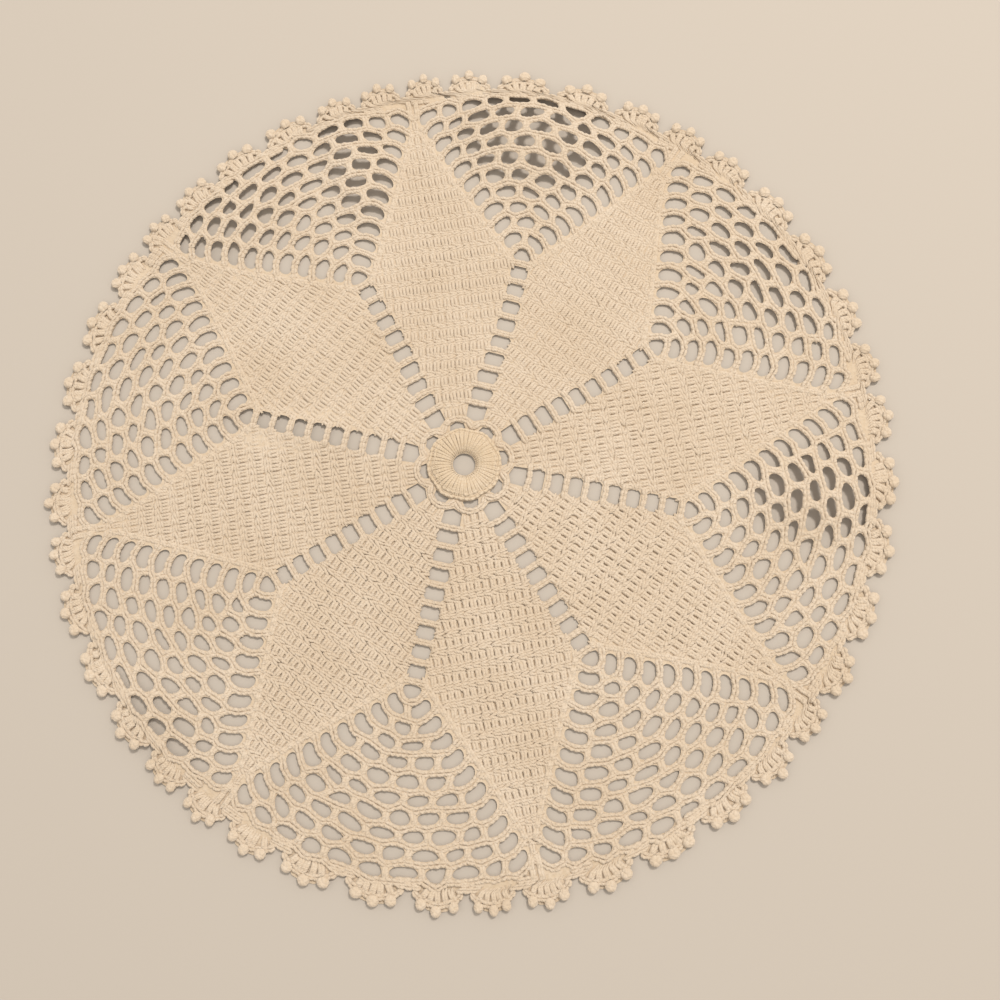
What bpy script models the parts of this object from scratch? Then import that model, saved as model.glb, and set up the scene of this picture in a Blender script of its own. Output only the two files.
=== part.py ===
"""A round crocheted cotton doily, about 293 by 297 mm, lying flat on a table.

It is one piece of work from one thread: a padded ring in the middle, eight solid petals
parted by ladders of gaps, eight fans of net between the petals' outer halves, and an edging
of 44 shells. So it is one thin solid, with the edging's outline, the ladders' gaps and the
gaps of the three outer rounds of net, laid with the work's own unevenness and ripples.

Metres, +Z up. A bearing runs clockwise from +Y. The origin is the middle of the doily's box,
on the table.
"""

import math

import bmesh
import bpy
from mathutils.geometry import delaunay_2d_cdt

# The work, as the pattern has it
PETALS = 8
ROUNDS = 20                 # rounds of stitches between the ring and the edging
WIDEST = 10                 # the round where the petals are widest and the ladders end
FIRST_NET_ROUND = 18        # the net's gaps are cut from this round out, its largest
SHELLS = 44
STITCH_WIDE = 0.00265       # one stitch along a petal's row, before the rows tighten
TIGHTENING = 0.000012       # how much narrower the stitches get, each round to the widest
ROUND_STEP = 0.00577        # one round, along a petal
FIRST_ROUND = 0.0190        # middle of the first round, on a petal's axis
LADDER_STEP = 0.0066        # one round, along a ladder
FIRST_GAP = 0.0206          # middle of the first gap, on a ladder's axis
FAN_STEP = 0.00564          # one round, along a fan
ROUND_ARCH = 0.32           # how fast a round of net climbs from the petal's edge; 1 is straight

# Gaps
GAP_TALL = 0.0041           # a ladder's gap, along the ladder
FIRST_GAP_TALL = 0.0062     # the wide gaps round the ring
NET_GAP_TALL = 0.0037
NET_GAP_SHARE = 0.72        # of its place in the round; the rest is the post beside it

# Ring and edging
HOLE_RADIUS = 0.0035
RING_RADIUS = 0.0125
RING_FOOT = 0.0140          # where the ring's shoulder meets the sheet
RING_POINTS = 24
RIM_RADIUS = 0.1476         # tops of the shells, on average
SHELL_TALL = 0.0066
FIRST_SHELL_DEG = 36.3

# Thickness of the crocheted work
SHEET_THICK = 0.0020
RING_THICK = 0.0032

# How the doily lies
FIRST_PETAL_DEG = 34.75
SQUEEZE_DEG = 0.86          # the outer net is spread at the fans and tight at the petals' tips
SQUEEZE_FROM = 0.080
SQUEEZE_FULL = 0.135
RING_END = 0.015            # nothing leans inside this radius
LADDER_MIDDLE = 0.050
NET_END = 0.125
EDGING_FROM = 0.1385
EDGING_FULL = 0.1402
RIM_PULL = 0.0033           # the rim is drawn out to one side of the ring, and in on the other
RIM_PULL_DEG = 70.0
RIM_OVAL = 0.0015           # it is also drawn out along one line, and in across it
RIM_OVAL_DEG = 25.0

# Each shell: how far along its place in the edging, and how much of its height is reached
SHELL_PROFILE = (
    # along, rise
    (0.00, 0.00),
    (0.11, 0.08),
    (0.19, 0.55),
    (0.33, 0.90),
    (0.50, 1.00),
    (0.67, 0.90),
    (0.81, 0.55),
    (0.89, 0.08),
)

# Hand-worked unevenness, at each fan and petal in turn: how many degrees the work leans off its
# even place at the ladders, at the petals' tips and in the edging
LIE = (
    # bearing, ladder_lean, tip_lean, shell_lean
    (12.25, 3.75, 0.3, -3.4),
    (34.75, 2.5, -1.25, -2.8),
    (57.25, 1.25, -0.9, -3.0),
    (79.75, 0.3, -0.65, -1.8),
    (102.25, -0.65, -0.3, 0.2),
    (124.75, -0.3, 0.0, 1.2),
    (147.25, 0.0, 0.0, 0.6),
    (169.75, 0.0, 0.0, 1.4),
    (192.25, 0.0, 0.0, -0.4),
    (214.75, 0.3, 0.0, 0.2),
    (237.25, 0.65, 0.0, -1.4),
    (259.75, 0.5, 0.0, -0.5),
    (282.25, 0.35, 0.9, 0.2),
    (304.75, 2.35, 1.85, 1.8),
    (327.25, 4.35, 1.85, 1.3),
    (349.75, 4.05, 1.85, -0.7),
)

# Soft ridges where the work stands off the table: bearing and radius of each one's middle,
# its half-lengths across and along the radius, and how high it stands
RIPPLES = (
    # bearing, radius, across, along, height
    (11.0, 0.126, 0.0170, 0.0130, 0.0055),
    (340.0, 0.119, 0.0080, 0.0170, 0.0035),
    (318.0, 0.124, 0.0200, 0.0110, 0.0022),
    (95.0, 0.122, 0.0110, 0.0160, 0.0038),
    (56.0, 0.128, 0.0200, 0.0100, 0.0012),
    (229.0, 0.134, 0.0130, 0.0070, 0.0014),
    (282.0, 0.060, 0.0040, 0.0180, 0.0014),
)

COTTON_COLOUR = (0.716, 0.546, 0.381, 1.0)
COTTON_ROUGHNESS = 0.9

SECTOR = math.tau / PETALS
PLAN_MERGE = 1e-7
ALL_TRIANGLES = 0           # the triangulation's own name for its simplest output


def petal_radius(row):
    """Distance of a round from the centre, on a petal's axis."""
    return FIRST_ROUND + (row - 1) * ROUND_STEP


def fan_radius(row):
    """The same round's distance on the ladder's or the fan's axis."""
    ladder = FIRST_GAP + (min(row, WIDEST) - 1) * LADDER_STEP
    return ladder + max(row - WIDEST, 0) * FAN_STEP


def petal_stitches(row):
    """A petal grows by two stitches a round to its widest, then loses two a round."""
    return 2 * row + 1 if row <= WIDEST else 2 * (ROUNDS - row) + 1


def petal_edge(row):
    """Angle from a petal's axis to its edge."""
    stitch = STITCH_WIDE - TIGHTENING * min(row, WIDEST)
    return math.atan(petal_stitches(row) * stitch / 2 / petal_radius(row))


def gaps_in(row):
    """Gaps between two petals: one in a ladder, then one more in each round of net."""
    return max(row - WIDEST + 1, 1)


def place(fan, row, across, outward=0.0):
    """Radius and bearing in a round; across runs from -1 to 1, petal to petal."""
    edge = petal_radius(row) / math.cos(petal_edge(row))
    arch = max(1 - abs(across), 0) ** ROUND_ARCH
    radius = edge + (fan_radius(row) - edge) * arch
    axis = math.radians(FIRST_PETAL_DEG) + (fan + 0.5) * SECTOR
    return radius + outward, axis + across * (SECTOR / 2 - petal_edge(row))


def ladder_gap(fan, row):
    """Corners of one of a ladder's gaps, an oblong between two petals."""
    half = GAP_TALL / 2
    radius, axis = place(fan, row, 0)
    side = SECTOR / 2 - petal_edge(row)
    return [(radius - half, axis - side), (radius - half, axis + side),
            (radius + half, axis + side), (radius + half, axis - side)]


def ring_gap(fan):
    """One of the eight wide gaps round the ring, with a point towards it."""
    half = FIRST_GAP_TALL / 2
    radius, axis = place(fan, 1, 0)
    side = SECTOR / 2 - petal_edge(1)
    return [(radius - half, axis), (radius - half / 2, axis + side),
            (radius + half, axis + side * 0.8), (radius + half, axis - side * 0.8),
            (radius - half / 2, axis - side)]


def net_gap(fan, row, number):
    """Corners of one gap of net, which follows its round's arch."""
    pitch = 2 / gaps_in(row)
    middle = (number + 0.5) * pitch - 1
    start = middle - NET_GAP_SHARE * pitch / 2
    end = middle + NET_GAP_SHARE * pitch / 2
    half = NET_GAP_TALL / 2
    return [place(fan, row, start, -half), place(fan, row, end, -half),
            place(fan, row, end, half), place(fan, row, start, half)]


def circle(radius):
    return [(radius, -step * math.tau / RING_POINTS) for step in range(RING_POINTS)]


def edging():
    """The outline, shell by shell, against the bearings as a face's corners run."""
    outline = []
    for shell in range(SHELLS):
        for along, rise in SHELL_PROFILE:
            bearing = math.radians(FIRST_SHELL_DEG) - (shell - 0.5 + along) * math.tau / SHELLS
            outline.append((RIM_RADIUS - SHELL_TALL * (1 - rise), bearing))
    return outline


def gaps():
    """Every gap that goes through the sheet."""
    found = [circle(HOLE_RADIUS)]
    for fan in range(PETALS):
        found.append(ring_gap(fan))
        found += [ladder_gap(fan, row) for row in range(2, WIDEST + 1)]
        for row in range(FIRST_NET_ROUND, ROUNDS + 1):
            found += [net_gap(fan, row, number) for number in range(gaps_in(row))]
    return found


def inner_points():
    """Points inside the sheet that carry the ring's shoulder and the ripples."""
    points = circle(RING_RADIUS) + circle(RING_FOOT)
    for fan in range(PETALS):
        petal = math.radians(FIRST_PETAL_DEG) + fan * SECTOR
        points += [(petal_radius(row), petal) for row in range(3, ROUNDS, 3)]
        for row in range(WIDEST + 2, ROUNDS, 2):
            points += [place(fan, row, side) for side in (-1, 1)]
        for row in range(WIDEST + 1, FIRST_NET_ROUND, 2):
            count = gaps_in(row)
            points += [place(fan, row, 2 * step / count - 1) for step in range(1, count)]
    return points


def smooth(value, start, end):
    """0 before start, 1 after end, with a soft climb between."""
    share = min(max((value - start) / (end - start), 0), 1)
    return share * share * (3 - 2 * share)


def lie_at(bearing):
    """The three leans at a bearing, softly blended right round."""
    first = LIE[0]
    ends = LIE + ((first[0] + 360,) + first[1:],)
    turn = (math.degrees(bearing) - first[0]) % 360 + first[0]
    for start, end in zip(ends, ends[1:]):
        if start[0] <= turn <= end[0]:
            share = smooth(turn, start[0], end[0])
            return [a + (b - a) * share for a, b in zip(start[1:], end[1:])]
    return list(first[1:])


def reach_at(bearing):
    """How far the rim is drawn out at a bearing."""
    to_side = RIM_PULL * math.cos(bearing - math.radians(RIM_PULL_DEG))
    return to_side + RIM_OVAL * math.cos(2 * (bearing - math.radians(RIM_OVAL_DEG)))


def ripple_height(x, y):
    """How far the work stands off the table; a far ripple adds nothing at all."""
    height = 0.0
    for bearing, radius, across, along, tall in RIPPLES:
        turn = math.radians(bearing)
        out = x * math.sin(turn) + y * math.cos(turn) - radius
        aside = x * math.cos(turn) - y * math.sin(turn)
        near = (out / along) ** 2 + (aside / across) ** 2
        height += tall * max(1 - near / 4, 0) ** 2
    return height


def laid(radius, bearing):
    """Where a point of the even pattern lies on the table."""
    ladder_lean, tip_lean, shell_lean = lie_at(bearing)
    lean = ladder_lean * smooth(radius, RING_END, LADDER_MIDDLE)
    lean += (tip_lean - ladder_lean) * smooth(radius, LADDER_MIDDLE, NET_END)
    lean += (shell_lean - tip_lean) * smooth(radius, EDGING_FROM, EDGING_FULL)
    from_petal = bearing - math.radians(FIRST_PETAL_DEG)
    squeeze = SQUEEZE_DEG * smooth(radius, SQUEEZE_FROM, SQUEEZE_FULL)
    turned = bearing + math.radians(lean - squeeze * math.sin(PETALS * from_petal))
    out = radius + reach_at(bearing) * (radius / RIM_RADIUS) ** 2
    return out * math.sin(turned), out * math.cos(turned)


def thickness(radius):
    """The padded ring is thicker than the rest, with a shoulder down to it."""
    return RING_THICK + (SHEET_THICK - RING_THICK) * smooth(radius, RING_RADIUS, RING_FOOT)


def flat_pattern():
    """The even pattern as a flat net of triangles, less those that fall in a gap."""
    points = []
    loops = []
    for loop in [edging()] + gaps():
        loops.append(list(range(len(points), len(points) + len(loop))))
        points += loop
    points += inner_points()
    plan = [(radius * math.sin(turn), radius * math.cos(turn)) for radius, turn in points]
    made = delaunay_2d_cdt(plan, [], loops, ALL_TRIANGLES, PLAN_MERGE)
    corners, triangles, loops_round = made[0], made[2], made[5]
    outline_only = [0]
    kept = [triangle for triangle, round_it in zip(triangles, loops_round)
            if round_it == outline_only]
    return corners, kept


def crocheted_sheet():
    """The flat pattern given its thickness, then laid out on the table."""
    sheet = bmesh.new()
    corners, triangles = flat_pattern()
    verts = [sheet.verts.new((x, y, 0)) for x, y in corners]
    for triangle in triangles:
        sheet.faces.new([verts[index] for index in triangle])
    made = bmesh.ops.extrude_face_region(sheet, geom=sheet.faces[:])["geom"]
    upper = {item for item in made if isinstance(item, bmesh.types.BMVert)}
    for vert in sheet.verts:
        radius = math.hypot(vert.co.x, vert.co.y)
        x, y = laid(radius, math.atan2(vert.co.x, vert.co.y))
        above = thickness(radius) if vert in upper else 0
        vert.co = (x, y, ripple_height(x, y) + above)
    bmesh.ops.recalc_face_normals(sheet, faces=sheet.faces[:])
    return sheet


def centre_on_box(sheet):
    """Moves the sheet so that the middle of its box is the origin."""
    for axis in (0, 1):
        places = [vert.co[axis] for vert in sheet.verts]
        middle = (min(places) + max(places)) / 2
        for vert in sheet.verts:
            vert.co[axis] -= middle


def ecru_cotton():
    material = bpy.data.materials.new("ecru crochet cotton")
    material.use_nodes = True
    shader = material.node_tree.nodes["Principled BSDF"]
    shader.inputs["Base Color"].default_value = COTTON_COLOUR
    shader.inputs["Roughness"].default_value = COTTON_ROUGHNESS
    shader.inputs["Metallic"].default_value = 0.0
    material.diffuse_color = COTTON_COLOUR
    return material


def main():
    for old in list(bpy.data.objects):
        bpy.data.objects.remove(old)
    sheet = crocheted_sheet()
    centre_on_box(sheet)
    mesh = bpy.data.meshes.new("doily")
    sheet.to_mesh(mesh)
    sheet.free()
    mesh.materials.append(ecru_cotton())
    doily = bpy.data.objects.new("doily", mesh)
    bpy.context.collection.objects.link(doily)


main()
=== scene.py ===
"""Looks of the crocheted cotton doily: every stitch worked in thread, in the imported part's frame.

Metres, +Z up. A bearing runs clockwise from +Y, round the middle of the ring. The even pattern is
worked out first, stitch by stitch, and laid() then puts each point where it lies on the table.
"""
import math

import bpy
import numpy as np
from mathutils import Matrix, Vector
from mathutils.geometry import delaunay_2d_cdt


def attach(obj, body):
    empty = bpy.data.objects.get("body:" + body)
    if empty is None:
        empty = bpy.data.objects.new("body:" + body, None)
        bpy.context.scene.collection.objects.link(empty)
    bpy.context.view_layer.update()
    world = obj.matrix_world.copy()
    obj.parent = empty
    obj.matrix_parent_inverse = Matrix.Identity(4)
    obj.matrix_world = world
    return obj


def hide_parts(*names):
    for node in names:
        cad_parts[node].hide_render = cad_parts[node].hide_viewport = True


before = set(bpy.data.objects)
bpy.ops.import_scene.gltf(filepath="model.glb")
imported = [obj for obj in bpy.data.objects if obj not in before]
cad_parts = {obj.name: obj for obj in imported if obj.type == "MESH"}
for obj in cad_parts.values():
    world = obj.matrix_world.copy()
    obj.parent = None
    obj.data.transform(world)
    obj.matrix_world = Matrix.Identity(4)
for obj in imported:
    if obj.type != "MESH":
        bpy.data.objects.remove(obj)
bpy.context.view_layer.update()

MM = 0.001
chance = np.random.default_rng(20)

# The pattern
PETALS = 8
ROUNDS = 20                  # rounds of stitches between the ring and the edging
WIDEST = 10                  # the petals are widest here, and the ladders end
SHELLS = 44
STITCH_WIDE = 2.65 * MM      # one stitch along a petal's row, before the rows tighten
TIGHTENING = 0.012 * MM      # how much narrower the stitches get, each round to the widest
ROUND_STEP = 5.77 * MM       # one round, along a petal
FIRST_ROUND = 19.0 * MM
LADDER_STEP = 6.6 * MM       # one round, along a ladder
FIRST_GAP = 20.6 * MM
FAN_STEP = 5.64 * MM         # one round, along a fan
ROUND_ARCH = 0.32            # how fast a round of net climbs from the petal's edge
SECTOR = math.tau / PETALS
FIRST_PETAL = math.radians(34.75)

# The ring and the edging
HOLE_RADIUS = 3.5 * MM
RING_RADIUS = 11.7 * MM
RING_STITCHES = 42
RIM_RADIUS = 147.6 * MM      # tops of the shells
SHELL_TALL = 6.6 * MM
SHELL_FOOT = 140.5 * MM
FIRST_SHELL = math.radians(36.3)

# How it lies: where the work leans, and how far its rim is drawn out
RIM_PULL = 3.3 * MM          # the rim is drawn out to one side of the ring, and in on the other
RIM_PULL_TO = math.radians(70)
RIM_OVAL = 1.5 * MM          # it is also drawn out along one line, and in across it
RIM_OVAL_TO = math.radians(25)
SQUEEZE = math.radians(0.86)
SQUEEZE_SPAN = (80 * MM, 135 * MM)
LADDER_SPAN = (15 * MM, 50 * MM)
TIP_SPAN = (50 * MM, 125 * MM)
EDGING_SPAN = (138.5 * MM, 140.2 * MM)
LIE = np.array((
    # bearing, ladder_lean, tip_lean, shell_lean, all in degrees
    (12.25, 3.75, 0.3, -3.4),
    (34.75, 2.5, -1.25, -2.8),
    (57.25, 1.25, -0.9, -3.0),
    (79.75, 0.3, -0.65, -1.8),
    (102.25, -0.65, -0.3, 0.2),
    (124.75, -0.3, 0.0, 1.2),
    (147.25, 0.0, 0.0, 0.6),
    (169.75, 0.0, 0.0, 1.4),
    (192.25, 0.0, 0.0, -0.4),
    (214.75, 0.3, 0.0, 0.2),
    (237.25, 0.65, 0.0, -1.4),
    (259.75, 0.5, 0.0, -0.5),
    (282.25, 0.35, 0.9, 0.2),
    (304.75, 2.35, 1.85, 1.8),
    (327.25, 4.35, 1.85, 1.3),
    (349.75, 4.05, 1.85, -0.7),
))
RIPPLES = (
    # bearing in degrees; radius, half-length across, half-length along and height in mm
    (11.0, 126.0, 17.0, 13.0, 5.5),
    (340.0, 119.0, 8.0, 17.0, 3.5),
    (318.0, 124.0, 20.0, 11.0, 2.2),
    (95.0, 122.0, 11.0, 16.0, 3.8),
    (56.0, 128.0, 20.0, 10.0, 1.2),
    (229.0, 134.0, 13.0, 7.0, 1.4),
    (282.0, 60.0, 4.0, 18.0, 1.4),
)

# Threads of each stitch, in mm: across the stitch, along it and above the table
OPEN_POST = (
    # thread radius, sides, (across, along, above) ...
    (0.68, 5, ((-0.62, -2.1, 0.50), (-0.54, -0.9, 0.66), (-0.40, 0.0, 0.66),
               (-0.56, 0.9, 0.66), (-0.62, 2.0, 0.50))),
    (0.68, 5, ((0.62, -2.1, 0.50), (0.54, -0.9, 0.64), (0.40, 0.0, 0.64),
               (0.56, 0.9, 0.66), (0.62, 2.0, 0.50))),
)
SHUT_POST = (
    (0.74, 5, ((-0.62, -2.1, 0.50), (-0.60, -0.9, 0.68), (-0.56, 0.0, 0.70),
               (-0.60, 0.9, 0.68), (-0.62, 2.0, 0.50))),
    (0.74, 5, ((0.62, -2.1, 0.50), (0.60, -0.9, 0.66), (0.58, 0.0, 0.68),
               (0.60, 0.9, 0.68), (0.62, 2.0, 0.50))),
)
BAND = (
    # what joins a row of posts to the next, laid slanting over their ends
    (0.66, 5, ((-1.65, 1.15, 0.46), (-0.55, 1.42, 0.62), (0.55, 1.66, 0.66), (1.60, 2.00, 0.50))),
    (0.66, 5, ((-1.60, 2.15, 0.52), (-0.50, 2.38, 0.70), (0.55, 2.62, 0.72), (1.65, 2.90, 0.54))),
    (0.66, 5, ((-1.65, 3.65, 0.52), (-0.55, 3.48, 0.72), (0.50, 3.25, 0.72), (1.60, 3.00, 0.54))),
    (0.66, 5, ((-1.60, 4.75, 0.44), (-0.55, 4.50, 0.60), (0.55, 4.26, 0.64), (1.65, 3.95, 0.50))),
)
NET_POST = (
    (0.78, 6, ((-0.55, -2.9, 0.50), (-0.44, -1.3, 0.72), (-0.38, 0.2, 0.80),
               (-0.46, 1.5, 0.72), (-0.60, 2.9, 0.52))),
    (0.78, 6, ((0.55, -2.9, 0.50), (0.44, -1.3, 0.72), (0.40, 0.2, 0.74),
               (0.46, 1.5, 0.74), (0.60, 2.9, 0.52))),
    (0.50, 4, ((-1.10, -0.70, 0.55), (-0.40, -0.10, 1.26), (0.40, 0.60, 1.24),
               (1.10, 1.20, 0.55))),
)
CHAIN_LINK = (
    # one link is 1 long, so its length follows the chain
    (0.66, 5, ((-0.16, -0.22, 0.50), (-0.50, 0.10, 0.84), (-0.66, 0.46, 0.96),
               (-0.50, 0.82, 0.84), (-0.12, 1.18, 0.50))),
    (0.66, 5, ((0.16, -0.22, 0.50), (0.52, 0.12, 0.80), (0.66, 0.50, 0.94),
               (0.52, 0.84, 0.86), (0.14, 1.18, 0.52))),
)
KNOB = (
    (1.30, 7, ((0.0, -1.35, 1.30), (0.28, -0.50, 1.45), (0.28, 0.50, 1.45), (0.0, 1.35, 1.30))),
)
# How loosely each petal is worked, which opens the slits between its stitches: 0 shut, 1 open
LOOSENESS = (0.22, 0.50, 0.9, 0.85, 0.75, 0.30, 0.10, 0.18)
LINK_LONG = 2.1              # about one chain stitch, in mm
STITCH_TALL = 5.77           # the double crochet's length above, in mm
BAR_HALF = 1.12 * MM         # from the middle of a bar of net to where the ground under it ends
PETAL_GROUND = 0.85          # height of the layer behind a tight petal's stitches, in mm
LOOSE_GROUND = 0.60          # how much lower it is where the petal is loosely worked
NET_GROUND = 1.00
EDGING_GROUND = 0.45
RING_GROUND = 1.70


def smooth(value, start, end):
    share = np.clip((value - start) / (end - start), 0, 1)
    return share * share * (3 - 2 * share)


def petal_radius(row):
    return FIRST_ROUND + (row - 1) * ROUND_STEP


def fan_radius(row):
    ladder = FIRST_GAP + (min(row, WIDEST) - 1) * LADDER_STEP
    return ladder + max(row - WIDEST, 0) * FAN_STEP


def petal_stitches(row):
    """3 at the first round, 21 at the tenth and 1 at the twentieth."""
    return max(min(2 * row + 1, 2 * (ROUNDS - row) + 1), 0.4)


def stitch_wide(row):
    return STITCH_WIDE - TIGHTENING * min(row, WIDEST)


def petal_edge(row):
    return math.atan(petal_stitches(row) * stitch_wide(row) / 2 / petal_radius(row))


def radius_at(fan, row, bearing):
    """How far out a round runs, at a bearing between two petals."""
    axis = fan_axis(fan)
    across = np.abs(bearing - axis) / (SECTOR / 2 - petal_edge(row))
    edge = petal_radius(row) / math.cos(petal_edge(row))
    return edge + (fan_radius(row) - edge) * np.clip(1 - across, 0, 1) ** ROUND_ARCH


def fan_axis(fan):
    return FIRST_PETAL + (fan + 0.5) * SECTOR


def bearing_at(fan, row, across):
    """across runs from -1 at one petal's edge to 1 at the next one's."""
    return fan_axis(fan) + across * (SECTOR / 2 - petal_edge(row))


def at(radius, bearing):
    return np.stack([radius * np.sin(bearing), radius * np.cos(bearing)], -1)


def lie_of(points):
    """Where points of the even pattern lie on the table, measured from the ring's middle."""
    radius = np.hypot(points[:, 0], points[:, 1])
    bearing = np.arctan2(points[:, 0], points[:, 1])
    first = LIE[0, 0]
    table = np.vstack([LIE, LIE[0] + (360, 0, 0, 0)])
    turn = (np.degrees(bearing) - first) % 360 + first
    row = np.clip(np.searchsorted(table[:, 0], turn, side="right") - 1, 0, len(LIE) - 1)
    share = smooth(turn, table[row, 0], table[row + 1, 0])[:, None]
    ladder, tip, shell = (table[row, 1:] * (1 - share) + table[row + 1, 1:] * share).T
    lean = ladder * smooth(radius, *LADDER_SPAN) + (tip - ladder) * smooth(radius, *TIP_SPAN)
    lean += (shell - tip) * smooth(radius, *EDGING_SPAN)
    squeeze = SQUEEZE * smooth(radius, *SQUEEZE_SPAN) * np.sin(PETALS * (bearing - FIRST_PETAL))
    reach = RIM_PULL * np.cos(bearing - RIM_PULL_TO) + RIM_OVAL * np.cos(2 * (bearing - RIM_OVAL_TO))
    return at(radius + reach * (radius / RIM_RADIUS) ** 2, bearing + np.radians(lean) - squeeze)


def laid(points):
    """Points of the even pattern, x, y and height, put where they lie in the frame."""
    spots = lie_of(points)
    height = points[:, 2] + ripple_height(*spots.T)
    return np.hstack([spots + RING_AT, height[:, None]])


def ripple_height(x, y):
    height = np.zeros_like(x)
    for degrees, radius, across, along, tall in RIPPLES:
        turn = math.radians(degrees)
        out = (x * math.sin(turn) + y * math.cos(turn)) / MM - radius
        aside = (x * math.cos(turn) - y * math.sin(turn)) / MM
        near = (out / along) ** 2 + (aside / across) ** 2
        height += tall * MM * np.clip(1 - near / 4, 0, 1) ** 2
    return height


def edging_outline(inset):
    profile = ((0.00, 0.00), (0.11, 0.08), (0.19, 0.55), (0.33, 0.90),
               (0.50, 1.00), (0.67, 0.90), (0.81, 0.55), (0.89, 0.08))
    outline = []
    for number in range(SHELLS):
        for along, rise in profile:
            bearing = FIRST_SHELL - (number - 0.5 + along) * math.tau / SHELLS
            outline.append(at(RIM_RADIUS - SHELL_TALL * (1 - rise) - inset, bearing))
    return outline


def ring_middle():
    """The origin is the middle of the doily's box, so its outline says where the ring is."""
    outline = lie_of(np.array(edging_outline(0)))
    return -(outline.min(axis=0) + outline.max(axis=0)) / 2


RING_AT = ring_middle()


# Threads. A batch of threads is (paths, radius, sides); paths is threads x points x 3.

def worked(stitch, spots, headings, wide=1.0, tall=1.0, above=0.0):
    """A stitch's threads at each spot of the even pattern; its far end points along the heading."""
    spots = np.atleast_2d(spots)
    count = len(spots)
    headings, wide, tall, above = (
        np.broadcast_to(value, count)[:, None] for value in (headings, wide, tall, above))
    batches = []
    for radius, sides, path in stitch:
        across, along, height = np.array(path).T * MM
        u = across * wide
        v = along * tall
        x = spots[:, :1] + u * np.cos(headings) + v * np.sin(headings)
        y = spots[:, 1:2] - u * np.sin(headings) + v * np.cos(headings)
        lowest = np.full(len(path), radius * MM)    # a thread rests on the table
        lowest[[0, -1]] /= 2                        # and is half as thick at its ends
        z = np.maximum(np.broadcast_to(height, x.shape) + above, lowest)
        batches.append((np.stack([x, y, z], -1), radius * MM, sides))
    return batches


def chained(nodes, wide=1.0, above=0.0):
    """Chain stitches along a line of points, as many as fit from each point to the next."""
    starts = []
    ends = []
    for start, end in zip(nodes, nodes[1:]):
        links = max(round(float(np.hypot(*(end - start))) / (LINK_LONG * MM)), 1)
        line = start + (end - start) * np.linspace(0, 1, links + 1)[:, None]
        starts.append(line[:-1])
        ends.append(line[1:])
    starts = np.concatenate(starts)
    run = np.concatenate(ends) - starts
    length = np.hypot(run[:, 0], run[:, 1])
    width = wide * chance.uniform(0.78, 1.20, len(length))
    high = above + chance.uniform(-0.18, 0.18, len(length)) * MM
    return worked(CHAIN_LINK, starts, np.arctan2(run[:, 0], run[:, 1]), width, length / MM, high)


def tubes(paths, radius, sides):
    """Round threads along their paths: corners, faces and each face corner's place on its thread."""
    threads, points = paths.shape[:2]
    along = np.gradient(paths, axis=1)
    along /= np.linalg.norm(along, axis=2, keepdims=True) + 1e-12
    side = np.cross(along, (0.05, 0.03, 1.0))
    side /= np.linalg.norm(side, axis=2, keepdims=True)
    over = np.cross(side, along)
    turn = np.arange(sides) * math.tau / sides
    swell = np.ones(points)
    swell[[0, -1]] = 0.5
    ring = np.cos(turn)[:, None] * side[:, :, None] + np.sin(turn)[:, None] * over[:, :, None]
    corners = paths[:, :, None] + ring * (radius * swell)[:, None, None]
    index = np.arange(threads * points * sides).reshape(threads, points, sides)
    beside = np.roll(index, -1, axis=2)
    faces = np.stack([index[:, :-1], beside[:, :-1], beside[:, 1:], index[:, 1:]], -1)
    steps = np.linalg.norm(np.diff(paths, axis=1), axis=2)
    length = np.concatenate([np.zeros((threads, 1)), np.cumsum(steps, axis=1)], axis=1)
    u = np.broadcast_to(length[:, :, None], index.shape)
    v = np.broadcast_to(np.arange(sides) / sides, index.shape)
    place = np.stack([
        np.stack([u[:, :-1], v[:, :-1]], -1), np.stack([u[:, :-1], v[:, :-1] + 1 / sides], -1),
        np.stack([u[:, 1:], v[:, 1:] + 1 / sides], -1), np.stack([u[:, 1:], v[:, 1:]], -1)], 3)
    return corners.reshape(-1, 3), faces.reshape(-1, 4), place.reshape(-1, 2)


def mesh_object(name, corners, faces, material, thread_place=None):
    mesh = bpy.data.meshes.new(name)
    mesh.from_pydata(corners.tolist(), [], faces.tolist())
    if thread_place is not None:
        layer = mesh.uv_layers.new(name="thread")
        layer.uv.foreach_set("vector", (thread_place / MM).ravel().astype(np.float32))
    mesh.shade_smooth()
    mesh.materials.append(material)
    made = bpy.data.objects.new(name, mesh)
    bpy.context.collection.objects.link(made)
    return made


def crocheted(name, batches, material):
    """One piece of work from batches of threads, laid on the table."""
    corners = []
    faces = []
    places = []
    first = 0
    for paths, radius, sides in batches:
        points, quads, place = tubes(paths, radius, sides)
        place[:, 1] *= MM
        corners.append(points)
        faces.append(quads + first)
        places.append(place)
        first += len(points)
    return mesh_object(name, laid(np.concatenate(corners)), np.concatenate(faces),
                       material, np.concatenate(places))


# The parts of the work

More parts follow.
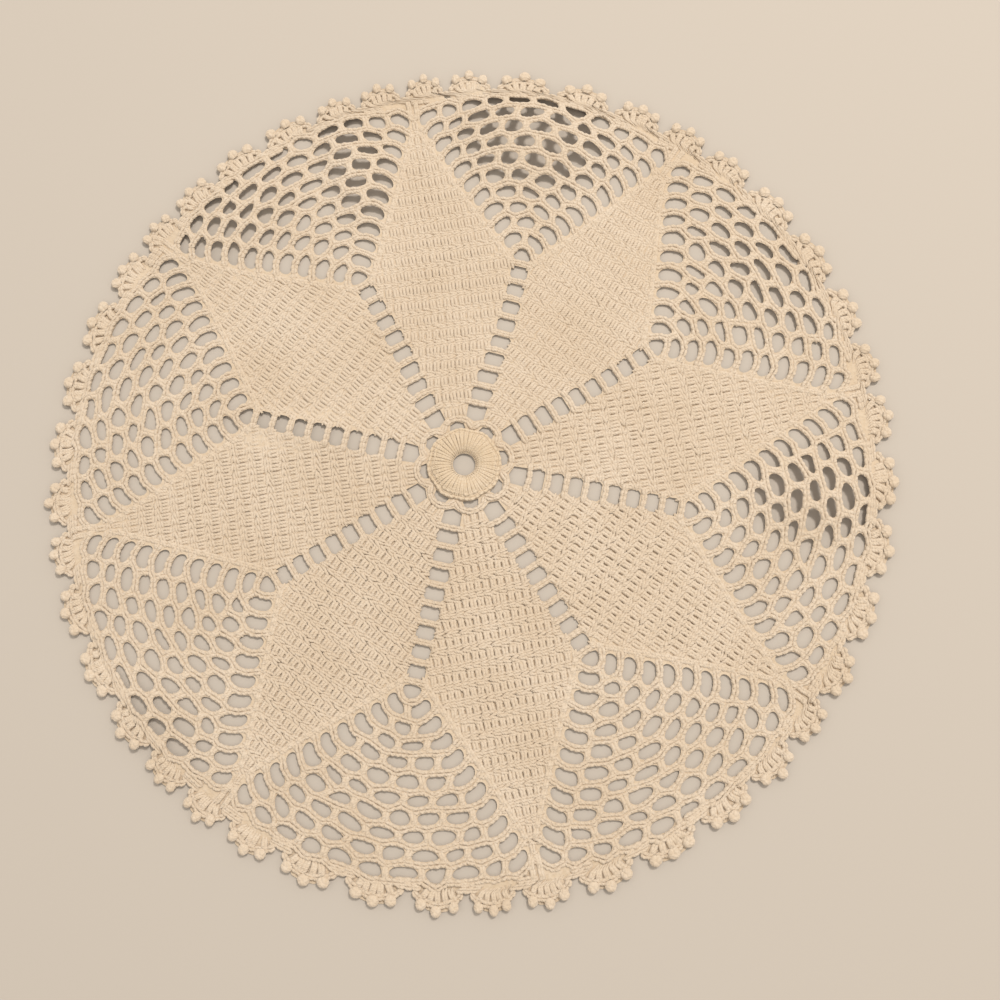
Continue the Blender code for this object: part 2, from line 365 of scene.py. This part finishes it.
def petal(number):
    """Solid rows of double crochet, straight across the petal's axis."""
    heading = FIRST_PETAL + number * SECTOR
    across = []
    along = []
    for row in range(1, ROUNDS + 1):
        stitches = int(petal_stitches(row))
        places = (np.arange(stitches) - (stitches - 1) / 2) * stitch_wide(row)
        across.append(places + chance.normal(0, 0.08, stitches) * MM)
        along.append(petal_radius(row) + chance.normal(0, 0.10, stitches) * MM)
    across = np.concatenate(across)
    along = np.concatenate(along)
    spots = np.stack([across * math.cos(heading) + along * math.sin(heading),
                      along * math.cos(heading) - across * math.sin(heading)], -1)
    count = len(spots)
    slant = heading + chance.normal(0, 0.05, count)
    wide = chance.normal(1.0, 0.07, count)
    tall = chance.normal(1.0, 0.02, count)
    above = chance.normal(0, 0.07, count) * MM
    loose = chance.random(count) < LOOSENESS[number]
    batches = []
    for thread in BAND:
        batches += worked((thread,), spots, heading + chance.normal(0, 0.09, count), 1.0, tall,
                          chance.normal(0, 0.07, count) * MM)
    for post, some in ((OPEN_POST, loose), (SHUT_POST, ~loose)):
        batches += worked(post, spots[some], slant[some], wide[some], tall[some], above[some])
    for side in (-1, 1):
        edge = np.array([petal_side(number, row / 2, side, NET_EDGE)
                         for row in range(2 * WIDEST, 2 * ROUNDS)])
        run = edge[1:] - edge[:-1]
        batches += worked(NET_POST, (edge[1:] + edge[:-1]) / 2,
                          np.arctan2(run[:, 0], run[:, 1]), 0.9, 0.62)
    return batches


def petal_side(number, row, side, inside):
    """On a petal's edge, or inside it."""
    radius = petal_radius(row) / math.cos(petal_edge(row))
    inside /= radius
    return at(radius, FIRST_PETAL + number * SECTOR + side * max(petal_edge(row) - inside, 0))


NET_EDGE = 1.1 * MM


class Net:
    """One fan: where its posts stand, and so where the chains of each round are caught."""

    caught = 0.60 * MM       # a post pulls the chain below it out, and the one above it in
    slip = 0.62 * MM         # how far a hand-worked post strays

    def __init__(self, fan):
        self.fan = fan
        self.feet = {}
        self.tops = {}
        for row in range(WIDEST + 1, ROUNDS + 2):
            posts = row - WIDEST
            across = 2 * np.arange(1, posts + 1) / (posts + 1) - 1
            inside = min(row, ROUNDS)
            bearing = bearing_at(fan, inside, across)
            if row > ROUNDS:
                across = (2 * np.arange(posts) + 1) / posts - 1
                bearing = bearing_at(fan, inside, across)
            stray = chance.normal(0, 1, (4, posts)) * self.slip
            self.feet[row] = self.caught_at(row - 0.5, bearing + stray[0] / 0.11,
                                            self.caught + stray[1] * 0.7)
            if row <= ROUNDS:
                self.tops[row] = self.caught_at(row + 0.5, bearing + stray[2] / 0.11,
                                                stray[3] * 0.7 - self.caught)

    def caught_at(self, row, bearing, outward):
        return at(radius_at(self.fan, row, bearing) + outward, bearing)

    def ends(self, row):
        """Where a round's chain meets the petals on its two sides."""
        bearing = bearing_at(self.fan, row + 0.5, np.array([-1.0, 1.0]))
        return at(petal_radius(row + 0.5) / math.cos(petal_edge(row + 0.5)), bearing)

    def chain_nodes(self, row):
        """The chain above a round, from petal to petal, through all that catches it."""
        start, end = self.ends(row)
        caught = np.empty((0, 2))
        feet = self.feet.get(row + 1, caught)
        tops = self.tops.get(row, caught)
        nodes = [start, self.rise(row, -1, feet[0])]
        for number, foot in enumerate(feet):
            nodes.append(foot)
            if number < len(tops):
                nodes.append(tops[number])
        return nodes + [self.rise(row, 1, feet[-1]), end]

    def rise(self, row, side, foot):
        """Half way from a petal to the first post, where the chain has already climbed."""
        bearing = math.atan2(*foot)
        edge = bearing_at(self.fan, row + 0.5, side)
        bearing += round((edge - bearing) / math.tau) * math.tau
        bearing = (bearing + edge) / 2
        return at(radius_at(self.fan, row + 0.5, bearing), bearing)

    def gap(self, row, number):
        """One gap of a round of net, less the threads round it."""
        below = self.chain_nodes(row - 1)
        above = self.chain_nodes(row)
        last = row - WIDEST
        under = below[2 * number if number else 0:2 * number + 3 if number < last else None]
        over = above[2 * number + 1 if number else 0:2 * number + 4 if number < last else None]
        return rounded(drawn_in(np.array(under + over[::-1]), BAR_HALF))

    def last_gap(self):
        """The gap at a ladder's end, under the first chain of the net."""
        return rounded(drawn_in(np.array(list(rung_ends(self.fan, WIDEST - 1))
                                         + self.chain_nodes(WIDEST)[::-1]), BAR_HALF))

    def chains(self):
        batches = []
        for row in range(WIDEST, ROUNDS + 1):
            batches += chained(self.chain_nodes(row))
        return batches

    def posts(self):
        batches = []
        for row in range(WIDEST + 1, ROUNDS + 1):
            feet, tops = self.feet[row], self.tops[row]
            run = tops - feet
            length = np.hypot(run[:, 0], run[:, 1])
            batches += worked(NET_POST, (feet + tops) / 2, np.arctan2(run[:, 0], run[:, 1]),
                              chance.normal(1.1, 0.15, len(run)), length / (STITCH_TALL * MM) * 1.1)
        return batches


def drawn_in(corners, inset):
    """A closed outline's corners moved in by the inset, whichever way round they run."""
    run = np.roll(corners, -1, axis=0) - corners
    keep = np.hypot(run[:, 0], run[:, 1]) > 0.02 * MM
    corners = corners[keep]
    run = np.roll(corners, -1, axis=0) - corners
    turn = np.sum(corners[:, 0] * np.roll(corners[:, 1], -1) - corners[:, 1] * np.roll(corners[:, 0], -1))
    if turn < 0:
        corners = corners[::-1]
        run = np.roll(corners, -1, axis=0) - corners
    inward = np.stack([-run[:, 1], run[:, 0]], -1) / np.hypot(run[:, 0], run[:, 1])[:, None]
    before = np.roll(inward, 1, axis=0)
    meet = 1 + np.sum(inward * before, axis=1, keepdims=True)
    moved = corners + (inward + before) / np.maximum(meet, 0.5) * inset
    middle = corners.mean(axis=0)
    out = corners - middle
    share = np.sum((moved - middle) * out, axis=1) / np.sum(out * out, axis=1)
    return np.where(share[:, None] > 0.15, moved, middle + out * 0.15)


def rounded(corners):
    """A closed outline with its corners cut twice, so that a gap is the oval that thread leaves."""
    for share in (0.30, 0.25):
        after = np.roll(corners, -1, axis=0)
        cut = np.stack([corners + (after - corners) * share, after + (corners - after) * share], 1)
        corners = cut.reshape(-1, 2)
    return corners


def rung_ends(fan, row):
    """A ladder's rung meets a petal at each end."""
    bearing = bearing_at(fan, row + 0.5, np.array([-1.0, 1.0]))
    radius = petal_radius(row + 0.5) / math.cos(petal_edge(row + 0.5))
    out = fan_radius(row + 0.5) - petal_radius(row + 0.5) / math.cos(SECTOR / 2)
    return at(radius + out, bearing)


def ladder(fan):
    """Rungs of chain between two petals, caught well into each."""
    batches = []
    for row in range(1, WIDEST):
        start, end = rung_ends(fan, row)
        run = end - start
        into = run / np.hypot(*run) * 1.3 * MM
        bow = np.array([-run[1], run[0]]) * chance.uniform(-0.03, 0.10)
        batches += chained([start - into, (start + end) / 2 + bow, end + into], 0.8)
    return batches


def ladder_gap(fan, row):
    """The gap below a rung, with its ends rounded by the stitches beside it."""
    start, end = rung_ends(fan, row - 1)
    over_start, over_end = rung_ends(fan, row)
    across = (over_end - over_start + end - start) / 2
    along = (over_start + over_end - start - end) / 2
    middle = (start + end + over_start + over_end) / 4
    oval = ((-0.56, -0.20), (-0.42, -0.34), (0.42, -0.34), (0.56, -0.20),
            (0.56, 0.20), (0.42, 0.34), (-0.42, 0.34), (-0.56, 0.20))
    return np.array([middle + across * aside + along * up for aside, up in oval])


def ring_gap(fan):
    """One of the wide gaps round the ring, with a point towards it."""
    axis = fan_axis(fan)
    side = SECTOR / 2 - petal_edge(1)
    radii = np.array([15.8, 17.3, 22.7, 22.7, 17.3]) * MM
    return at(radii, axis + side * np.array([0, 0.95, 0.8, -0.8, -0.95]))


def arch_gap(number):
    """One of the small gaps between the ring and the chain that a petal starts from."""
    heading = FIRST_PETAL + number * SECTOR
    radii = np.array([13.0, 13.0, 13.0, 14.8, 15.7, 14.8]) * MM
    return at(radii, heading + np.array([-0.21, 0.0, 0.21, 0.16, 0.0, -0.16]))


def ring():
    """Long stitches over a padded ring, their tops chained round."""
    over_padding = (
        (0.50, 5, ((-0.36, 4.1, 1.0), (-0.38, 5.4, 2.3), (-0.42, 8.0, 2.75),
                   (-0.46, 10.4, 2.3), (-0.40, 12.0, 1.2))),
        (0.50, 5, ((0.30, 4.1, 1.0), (0.32, 5.4, 2.3), (0.42, 8.0, 2.75),
                   (0.50, 10.4, 2.3), (0.40, 12.0, 1.2))),
    )
    turns = np.arange(RING_STITCHES) * math.tau / RING_STITCHES
    middle = np.zeros((RING_STITCHES, 2))
    wide = chance.normal(1.0, 0.05, RING_STITCHES)
    batches = worked(over_padding, middle, turns + chance.normal(0, 0.012, RING_STITCHES), wide)
    lobed = RING_RADIUS + 0.35 * MM * np.cos(PETALS * (turns - FIRST_PETAL))
    for inward, above in ((0.0, 0.5), (1.6 * MM, 1.15)):
        batches += chained(list(at(lobed - inward, turns)) + [at(lobed[0] - inward, turns[0])],
                           0.75, above * MM)
    return batches


def arches():
    """Eight arches of chain round the ring, which the petals stand on."""
    batches = []
    turns = np.linspace(-0.5, 0.5, 7)
    for number in range(PETALS):
        heading = FIRST_PETAL + number * SECTOR
        out = (13.3 + 3.4 * np.abs(np.cos(turns * math.pi)) ** 0.6) * MM
        batches += chained(list(at(out, heading + turns * SECTOR)), 0.85)
    return batches


def shell(number):
    """A fan of five double crochets with a picot on the first, third and fifth."""
    heading = FIRST_SHELL + number * math.tau / SHELLS
    out = np.array([math.sin(heading), math.cos(heading)])
    side = np.array([math.cos(heading), -math.sin(heading)])
    foot = at(SHELL_FOOT, heading)

    def spot(across, outward):
        return foot + side * across * MM + out * outward * MM

    batches = []
    for step in (-2, -1, 0, 1, 2):
        low = spot(1.7 * step + chance.normal(0, 0.25), -1.2)
        high = spot(2.9 * step + chance.normal(0, 0.45), 4.2 - 0.32 * step * step)
        run = high - low
        tall = np.hypot(*run) / (STITCH_TALL * MM)
        batches += worked(NET_POST, (low + high) / 2, np.arctan2(*run), 0.95, tall * 1.1,
                          chance.uniform(-0.1, 0.1) * MM)
    brim = [spot(*place) for place in (
        (-8.2, 0.2), (-7.1, 1.4), (-5.4, 2.6), (-2.7, 3.6), (0.0, 4.0),
        (2.7, 3.6), (5.4, 2.6), (7.1, 1.4), (8.2, 0.2))]
    batches += chained(brim, 0.85, 0.1 * MM)
    for across, outward in ((-5.6, 3.9), (0.0, 5.4), (5.6, 3.9)):
        middle = spot(across, outward) + chance.normal(0, 0.25, 2) * MM
        batches += picot(middle, heading + across * 0.12)
    return batches


def picot(middle, heading):
    """A small knob of chain, closed on itself, with its three stitches showing."""
    batches = []
    for turn in (-2.0, 0.0, 2.0):
        lean = heading + turn + chance.uniform(-0.3, 0.3)
        spot = middle + at(0.95 * MM, lean)
        batches += worked(KNOB, spot, lean + math.pi / 2, chance.uniform(0.9, 1.1))
    return batches


def valleys():
    """The edging between the shells."""
    batches = []
    for number in range(SHELLS):
        heading = FIRST_SHELL + (number + 0.5) * math.tau / SHELLS
        turns = np.linspace(-3.6, 3.6, 4) * MM / SHELL_FOOT
        for radius in (139.6, 137.9):
            batches += chained(list(at(radius * MM, heading + turns)), 0.8)
    return batches


def tip_stitches():
    """What fills the notch between a petal's tip and the edging."""
    batches = []
    for number in range(PETALS):
        heading = FIRST_PETAL + number * SECTOR
        for radius in (133.2, 137.0):
            for aside in (-0.011, 0.011):
                batches += worked(NET_POST, at(radius * MM, heading + aside), heading + aside * 8)
    return batches


def ground(nets):
    """The thin layer of thread behind the stitches, with every gap of the lace through it."""
    turns = -np.arange(24) * math.tau / 24
    loops = [edging_outline(0.9 * MM), list(at(HOLE_RADIUS + 0.4 * MM, turns))]
    for fan in range(PETALS):
        loops += [ring_gap(fan), arch_gap(fan)]
        loops += [ladder_gap(fan, row) for row in range(2, WIDEST)]
        loops.append(nets[fan].last_gap())
        for row in range(WIDEST + 1, ROUNDS + 1):
            loops += [nets[fan].gap(row, number) for number in range(row - WIDEST + 1)]
    points = [Vector(point) for loop in loops for point in loop]
    rings = []
    first = 0
    for loop in loops:
        rings.append(list(range(first, first + len(loop))))
        first += len(loop)
    for radius in np.arange(20, 136, 6) * MM:
        count = int(radius / (1.5 * MM))
        points += [Vector(point) for point in at(radius, np.arange(count) * math.tau / count)]
    made = delaunay_2d_cdt(points, [], rings, 0, 1e-7)
    flat = np.array([tuple(corner) for corner in made[0]])
    faces = [face for face, inside in zip(made[2], made[5]) if inside == [0]]
    radius = np.hypot(flat[:, 0], flat[:, 1])
    off_axis = np.arctan2(flat[:, 0], flat[:, 1]) - FIRST_PETAL
    off_axis = np.abs((off_axis + SECTOR / 2) % SECTOR - SECTOR / 2)
    row = np.clip((radius - FIRST_ROUND) / ROUND_STEP + 1, 1, ROUNDS - 0.5)
    edge = np.array([petal_edge(one) for one in row])
    in_net = smooth((off_axis - edge) * radius, -1.5 * MM, 0.5 * MM)
    from_first = np.arctan2(flat[:, 0], flat[:, 1]) - FIRST_PETAL
    petal_number = np.round(from_first / SECTOR).astype(int)
    height = PETAL_GROUND - LOOSE_GROUND * np.array(LOOSENESS)[petal_number % PETALS]
    height += (NET_GROUND - height) * in_net
    height += (EDGING_GROUND - height) * smooth(radius, 136 * MM, 138 * MM)
    in_ring = (1 - smooth(radius, 10 * MM, 13 * MM)) * smooth(radius, 3 * MM, 6 * MM)
    height += (RING_GROUND - height) * in_ring
    height = (height + chance.uniform(-0.12, 0.12, len(flat))) * MM
    return laid(np.hstack([flat, height[:, None]])), np.array(faces)


# Materials

def linear(colour):
    """An sRGB hex colour as linear red, green, blue and alpha."""
    parts = [int(colour[start:start + 2], 16) / 255 for start in (1, 3, 5)]
    return [p / 12.92 if p <= 0.04045 else ((p + 0.055) / 1.055) ** 2.4 for p in parts] + [1.0]


def add(tree, kind, links=(), **settings):
    """A node with its settings; links is (input, socket) pairs, and a plain value sets the input."""
    node = tree.nodes.new(kind)
    for name, value in settings.items():
        setattr(node, name, value)
    for name, value in links:
        if isinstance(value, bpy.types.NodeSocket):
            tree.links.new(value, node.inputs[name])
        else:
            node.inputs[name].default_value = value
    return node


def blank(name):
    material = bpy.data.materials.new(name)
    material.use_nodes = True
    tree = material.node_tree
    tree.nodes.clear()
    return material, tree


def cotton(name, pale, deep, twist=True):
    """Mercerised crochet cotton, plied and not dyed: matte, faintly furry, a little uneven in tone."""
    material, tree = blank(name)
    where = add(tree, "ShaderNodeTexCoord")
    patches = add(tree, "ShaderNodeTexNoise", [("Vector", where.outputs["Object"]),
                                               ("Scale", 1 / 0.03), ("Detail", 3.0)])
    fibre = add(tree, "ShaderNodeTexNoise", [("Vector", where.outputs["Object"]),
                                             ("Scale", 1 / 0.0012), ("Detail", 2.0)])
    both = add(tree, "ShaderNodeMath", [(0, patches.outputs["Fac"]), (1, fibre.outputs["Fac"])],
               operation="MULTIPLY")
    spread = add(tree, "ShaderNodeMapRange", [("Value", both.outputs[0]), ("From Min", 0.12),
                                              ("From Max", 0.40)])
    tone = add(tree, "ShaderNodeMix", [("Factor", spread.outputs[0]), (6, linear(deep)),
                                       (7, linear(pale))], data_type="RGBA")
    shader = add(tree, "ShaderNodeBsdfPrincipled", [
        ("Base Color", tone.outputs[2]), ("Roughness", 0.88), ("Sheen Weight", 0.25),
        ("Sheen Roughness", 0.6), ("Specular IOR Level", 0.2)])
    if twist:
        thread = add(tree, "ShaderNodeUVMap", uv_map="thread")
        parts = add(tree, "ShaderNodeSeparateXYZ", [("Vector", thread.outputs["UV"])])
        ply = add(tree, "ShaderNodeMath", [(0, parts.outputs["X"]), (1, 1 / 0.9)], operation="MULTIPLY")
        turned = add(tree, "ShaderNodeMath", [(0, parts.outputs["Y"]), (1, 3.0), (2, ply.outputs[0])],
                     operation="MULTIPLY_ADD")
        wave = add(tree, "ShaderNodeMath", [(0, turned.outputs[0]), (1, math.tau)], operation="MULTIPLY")
        ridge = add(tree, "ShaderNodeMath", [(0, wave.outputs[0])], operation="SINE")
        fuzz = add(tree, "ShaderNodeMath", [(0, fibre.outputs["Fac"]), (1, 2.5), (2, ridge.outputs[0])],
                   operation="MULTIPLY_ADD")
        bump = add(tree, "ShaderNodeBump", [("Strength", 0.40), ("Distance", 0.00014),
                                            ("Height", fuzz.outputs[0])])
        tree.links.new(bump.outputs["Normal"], shader.inputs["Normal"])
    else:
        bump = add(tree, "ShaderNodeBump", [("Strength", 0.8), ("Distance", 0.0006),
                                            ("Height", fibre.outputs["Fac"])])
        tree.links.new(bump.outputs["Normal"], shader.inputs["Normal"])
    add(tree, "ShaderNodeOutputMaterial", [("Surface", shader.outputs[0])])
    return material


def board():
    """A plain pale board under the doily."""
    material, tree = blank("pale matte board")
    shader = add(tree, "ShaderNodeBsdfPrincipled", [("Base Color", linear("#b3aaa0")),
                                                    ("Roughness", 0.9)])
    add(tree, "ShaderNodeOutputMaterial", [("Surface", shader.outputs[0])])
    return material


# Surroundings

def aimed(thing, target):
    thing.rotation_euler = (Vector(target) - thing.location).to_track_quat("-Z", "Y").to_euler()


def camera():
    """Above the doily and a little in front of it, leaning back 11 degrees."""
    target = (RING_AT[0] + 12.4 * MM, RING_AT[1] - 12.3 * MM, 0.0)
    data = bpy.data.cameras.new("camera")
    data.lens = 36
    data.sensor_width = 36
    data.clip_start = 0.01
    made = bpy.data.objects.new("camera", data)
    made.location = (target[0], target[1] - 64.5 * MM, 338 * MM)
    bpy.context.collection.objects.link(made)
    bpy.context.view_layer.update()
    aimed(made, target)
    bpy.context.scene.camera = made


def light(name, spot, size, power, colour):
    data = bpy.data.lights.new(name, "AREA")
    data.shape = "DISK"
    data.size = size
    data.energy = power
    data.color = linear(colour)[:3]
    made = bpy.data.objects.new(name, data)
    made.location = spot
    bpy.context.collection.objects.link(made)
    aimed(made, (0, 0, 0))


def surroundings():
    size = 3.0
    corners = np.array([(-size, -size, 0), (size, -size, 0), (size, size, 0), (-size, size, 0)])
    floor = mesh_object("floor", corners, np.array([[0, 1, 2, 3]]), board())
    light("soft lamp, far right", (0.42, 0.68, 1.45), 0.32, 19.5, "#fffaf2")
    world = bpy.data.worlds.new("room")
    world.use_nodes = True
    sky = world.node_tree.nodes["Background"]
    sky.inputs["Color"].default_value = linear("#fffaf2")
    sky.inputs["Strength"].default_value = 0.90
    bpy.context.scene.world = world
    bpy.context.scene.view_settings.view_transform = "Standard"
    camera()


def main():
    yarn = cotton("ecru crochet cotton, plied", "#cdbdaa", "#c3b099")
    ring_yarn = cotton("ecru crochet cotton at the ring, yellower with age", "#cfbda6", "#c4af93")
    # The backing stands for the real thread behind the stitches, but its tones are a little deeper than
    # the yarn's: painted shade between the stitches and in the slits.
    backing = cotton("ecru crochet cotton, behind the stitches", "#c9b8a3", "#bfab92", twist=False)
    nets = [Net(fan) for fan in range(PETALS)]
    pieces = []
    for number in range(PETALS):
        pieces.append(crocheted(f"petal_{number + 1}", petal(number), yarn))
        net = nets[number]
        pieces.append(crocheted(f"net_and_ladder_{number + 1}",
                                net.chains() + net.posts() + ladder(number), yarn))
    pieces.append(crocheted("padded_ring", ring(), ring_yarn))
    pieces.append(crocheted("arches_round_ring", arches(), yarn))
    shells = [batch for number in range(SHELLS) for batch in shell(number)]
    pieces.append(crocheted("shell_edging", shells + valleys() + tip_stitches(), yarn))
    sheet = mesh_object("doily_ground", *ground(nets), backing)
    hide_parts("doily")
    for piece in pieces + [sheet]:
        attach(piece, "root")
    surroundings()


main()
